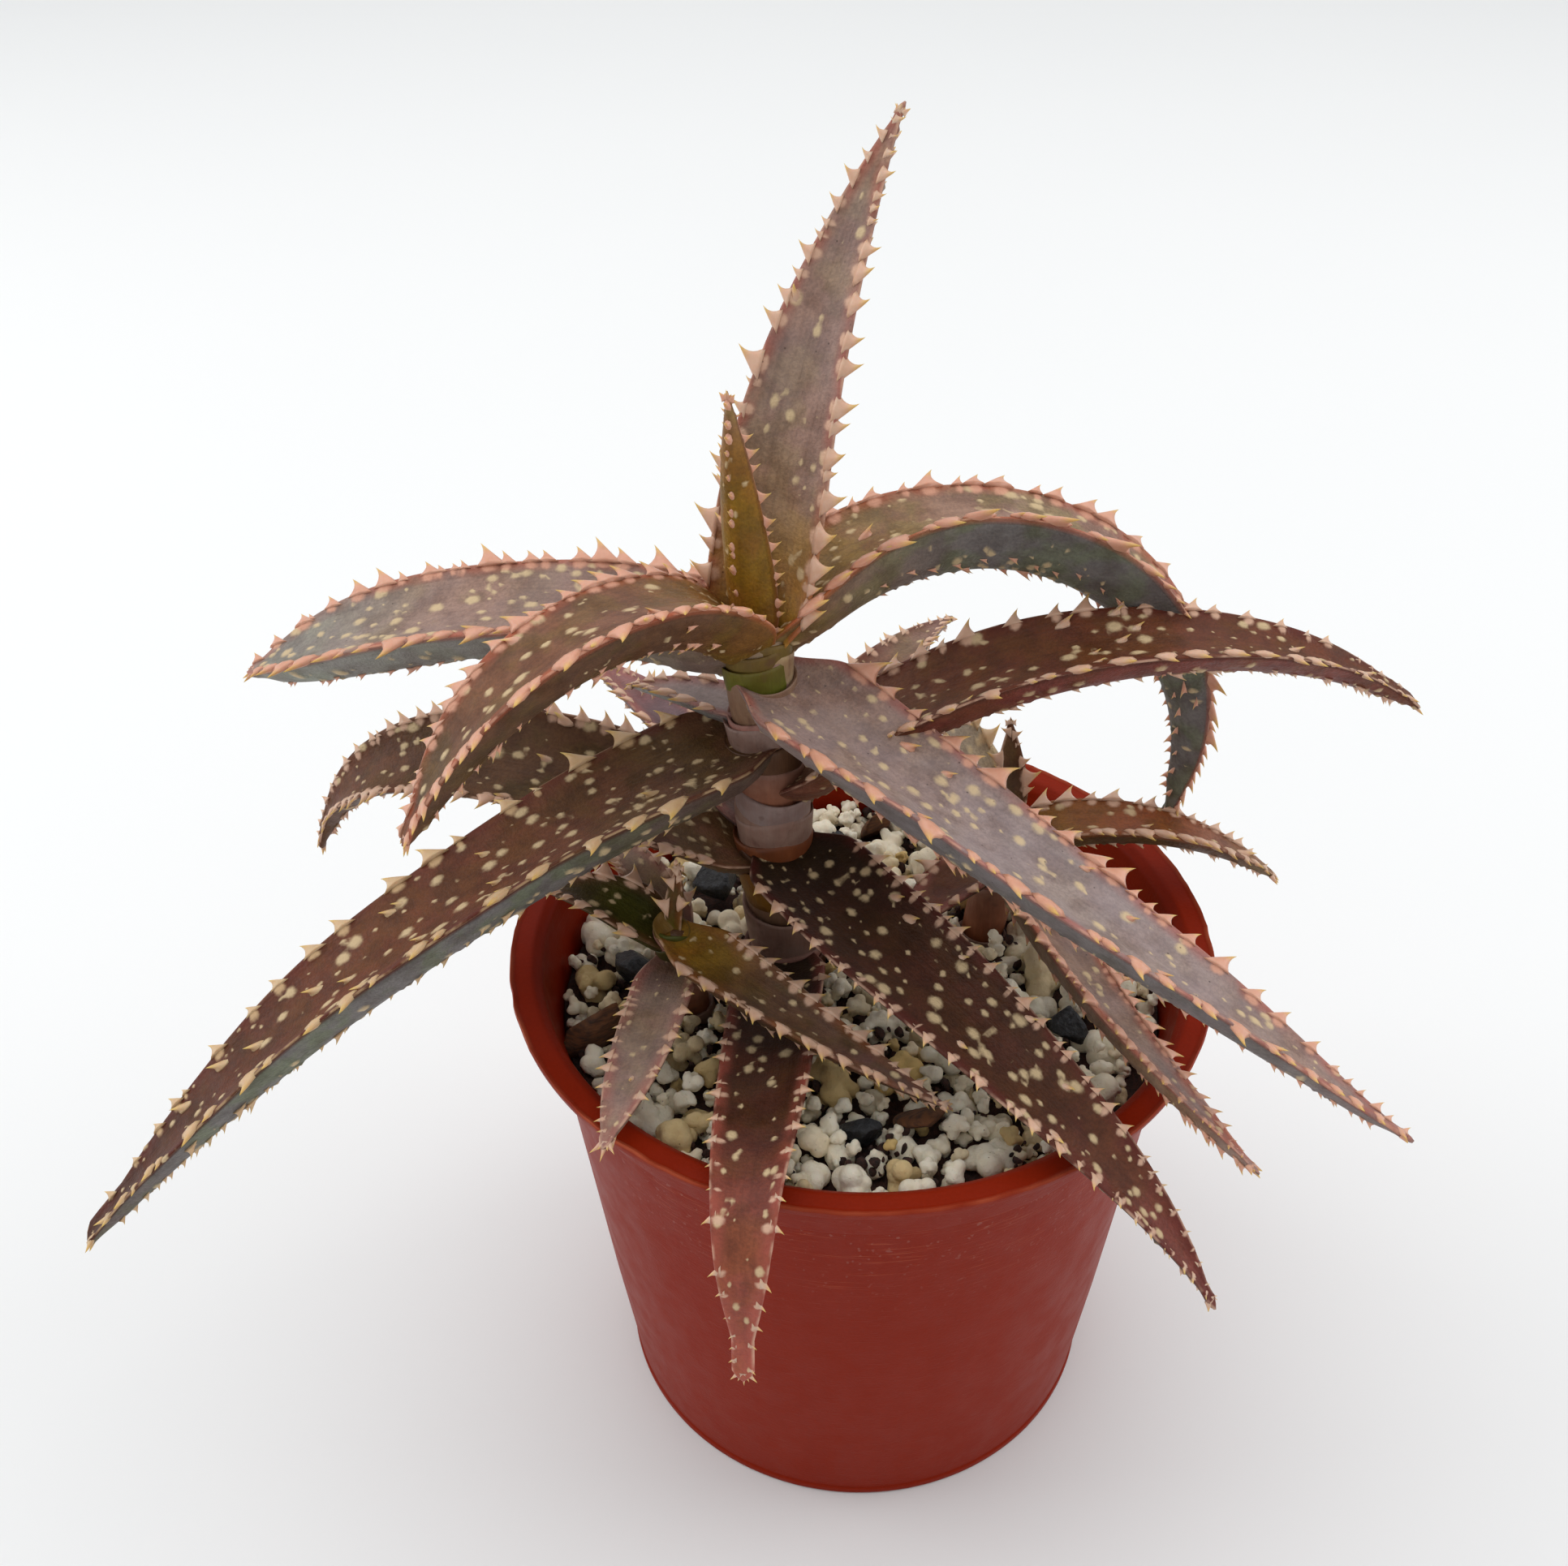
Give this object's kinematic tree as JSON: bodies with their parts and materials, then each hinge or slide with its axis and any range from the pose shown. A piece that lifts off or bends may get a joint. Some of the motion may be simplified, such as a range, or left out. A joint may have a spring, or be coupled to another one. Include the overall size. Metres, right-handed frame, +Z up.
{
  "type": "potted aloe hybrid",
  "caption": "Small potted aloe hybrid with long spotted, toothed purple-brown leaves, two offsets, gritty mix and a round terracotta-coloured plastic nursery pot.",
  "frame": {"origin": "centre of the pot's underside, on the ground plane", "axes": "+Z up along the pot's axis, +Y to the back and +X to the right of the plant's best side"},
  "size_m": [0.1621, 0.1018, 0.1724],
  "materials": {
    "pot_plastic": "satin",
    "grit": "rough mineral",
    "stem_sheath": "dry plant skin",
    "leaf_brown": "satin plant skin",
    "leaf_grey": "satin plant skin",
    "leaf_dark": "satin plant skin",
    "leaf_young": "satin plant skin"
  },
  "bodies": {
    "root": {"pot": "pot_plastic", "soil": "grit", "main_stem": "stem_sheath", "left_offset_stem": "stem_sheath", "right_offset_stem": "stem_sheath", "leaf_crown": "leaf_young", "leaf_right_arching": "leaf_brown", "leaf_back_upright": "leaf_brown", "leaf_left_arching": "leaf_brown", "leaf_left_high": "leaf_grey", "leaf_front_right_broad": "leaf_grey", "leaf_back_short": "leaf_grey", "leaf_front_left_long": "leaf_brown", "leaf_right_back": "leaf_dark", "leaf_back": "leaf_dark", "leaf_back_left": "leaf_grey", "leaf_left_back_low": "leaf_dark", "leaf_front_dark": "leaf_dark", "leaf_front_hanging": "leaf_brown", "left_offset_leaf_centre": "leaf_young", "left_offset_leaf_left": "leaf_young", "left_offset_leaf_right": "leaf_dark", "left_offset_leaf_back": "leaf_dark", "left_offset_leaf_front": "leaf_grey", "right_offset_leaf_centre": "leaf_dark", "right_offset_leaf_right": "leaf_young", "right_offset_leaf_back": "leaf_grey", "right_offset_leaf_front": "leaf_grey", "right_offset_leaf_left": "leaf_brown"}
  },
  "joints": []
}
